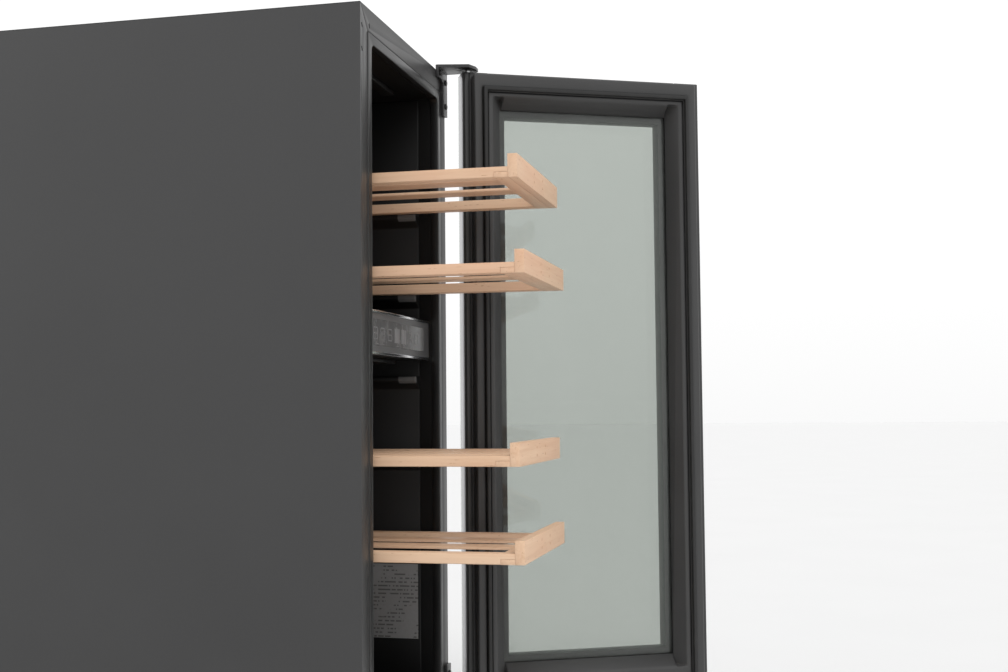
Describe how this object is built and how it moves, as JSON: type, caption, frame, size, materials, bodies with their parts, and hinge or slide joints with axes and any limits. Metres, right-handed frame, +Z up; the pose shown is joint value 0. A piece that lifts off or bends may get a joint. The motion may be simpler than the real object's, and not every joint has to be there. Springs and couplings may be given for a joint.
{
  "type": "wine cooler",
  "caption": "Narrow built-in two-zone wine cooler with a right-hung glass door and four slatted wooden shelves drawn out.",
  "frame": {"origin": "middle of the flat underside of the base plate, which the feet screw into", "axes": "+Z up, -Y out of the front opening, +X to the right seen from the front"},
  "size_m": [0.4288, 0.8566, 0.8265],
  "materials": {
    "shell_grey": "satin",
    "galvanised": "satin",
    "black_plastic": "satin",
    "fan_grey": "matte",
    "foam": "matte",
    "fascia_grey": "satin",
    "bright_trim": "polished",
    "dark_glass": "gloss",
    "lamp_lens": "satin",
    "label_film": "matte",
    "machine_black": "satin",
    "rubber": "matte",
    "foot_plastic": "matte",
    "hinge_steel": "satin",
    "pin_steel": "satin",
    "door_steel": "satin",
    "door_moulding": "satin",
    "clear_glass": "gloss",
    "spacer_grey": "matte",
    "nylon": "matte",
    "beech": "satin"
  },
  "bodies": {
    "cabinet": {"back_panel": "galvanised", "base_plate": "galvanised", "bottom_rail": "shell_grey", "compressor": "machine_black", "compressor_grommets": "rubber", "condenser": "machine_black", "condenser_fan_frame": "black_plastic", "control_box": "black_plastic", "control_fascia": "fascia_grey", "drip_tray": "black_plastic", "duct_cover_lower": "black_plastic", "duct_cover_upper": "black_plastic", "evaporator_lower": "galvanised", "evaporator_upper": "galvanised", "fan_frame_lower": "black_plastic", "fan_frame_upper": "black_plastic", "fascia_trim_lower": "bright_trim", "fascia_trim_upper": "bright_trim", "foam_jacket": "foam", "hinge_bracket_bottom": "hinge_steel", "hinge_bracket_top": "hinge_steel", "hinge_pin_bottom": "pin_steel", "hinge_pin_top": "pin_steel", "hinge_screws": "pin_steel", "kick_grille": "black_plastic", "led_lamp_lower": "lamp_lens", "led_lamp_upper": "lamp_lens", "levelling_feet": "foot_plastic", "liner_tub": "black_plastic", "opening_frame": "black_plastic", "power_inlet": "black_plastic", "rack_strip_left": "black_plastic", "rack_strip_right": "black_plastic", "rating_label": "label_film", "side_panel_left": "shell_grey", "side_panel_right": "shell_grey", "top_panel": "shell_grey", "touch_glass": "dark_glass", "zone_divider": "black_plastic"},
    "door": {"door_gasket": "rubber", "door_glass_inner": "clear_glass", "door_glass_outer": "clear_glass", "door_inner_frame": "door_moulding", "door_rail_bottom": "door_steel", "door_rail_top": "door_steel", "door_stile_free": "door_steel", "door_stile_hinge": "door_steel", "glass_spacer": "spacer_grey", "hinge_bushes": "nylon"},
    "shelf_1": {"shelf_1_front": "beech", "shelf_1_rack": "beech"},
    "shelf_2": {"shelf_2_front": "beech", "shelf_2_rack": "beech"},
    "shelf_3": {"shelf_3_front": "beech", "shelf_3_rack": "beech"},
    "shelf_4": {"shelf_4_front": "beech", "shelf_4_rack": "beech"},
    "fan_rotor_upper_body": {"fan_rotor_upper": "fan_grey"},
    "fan_rotor_lower_body": {"fan_rotor_lower": "fan_grey"},
    "condenser_fan_rotor_body": {"condenser_fan_rotor": "fan_grey"}
  },
  "joints": [
    {"name": "door_hinge", "type": "hinge", "parent": "cabinet", "child": "door", "pos_m": [0.1367, -0.3161, 0.44], "axis": [0, 0, 1], "range_deg": [-116.83, 3.17]},
    {"name": "shelf_1_slide", "type": "slide", "parent": "cabinet", "child": "shelf_1", "axis": [0, -1, 0], "range_m": [-0.1935, 0.00604]},
    {"name": "shelf_2_slide", "type": "slide", "parent": "cabinet", "child": "shelf_2", "axis": [0, -1, 0], "range_m": [-0.1995, 0.0062]},
    {"name": "shelf_3_slide", "type": "slide", "parent": "cabinet", "child": "shelf_3", "axis": [0, -1, 0], "range_m": [-0.1935, 0.00604]},
    {"name": "shelf_4_slide", "type": "slide", "parent": "cabinet", "child": "shelf_4", "axis": [0, -1, 0], "range_m": [-0.1975, 0.00615]},
    {"name": "fan_spin_upper", "type": "hinge", "parent": "cabinet", "child": "fan_rotor_upper_body", "pos_m": [0, 0.188, 0.7067], "axis": [0, 1, 0], "continuous": true},
    {"name": "fan_spin_lower", "type": "hinge", "parent": "cabinet", "child": "fan_rotor_lower_body", "pos_m": [0, 0.188, 0.407], "axis": [0, 1, 0], "continuous": true},
    {"name": "condenser_fan_spin", "type": "hinge", "parent": "cabinet", "child": "condenser_fan_rotor_body", "pos_m": [0, -0.227, 0.045], "axis": [0, 1, 0], "continuous": true}
  ],
  "couplings": [
    {"joint": "shelf_1_slide", "follows": "door_hinge", "m_per_rad": 0.094651},
    {"joint": "shelf_2_slide", "follows": "door_hinge", "m_per_rad": 0.097594},
    {"joint": "shelf_3_slide", "follows": "door_hinge", "m_per_rad": 0.094651},
    {"joint": "shelf_4_slide", "follows": "door_hinge", "m_per_rad": 0.096613}
  ]
}
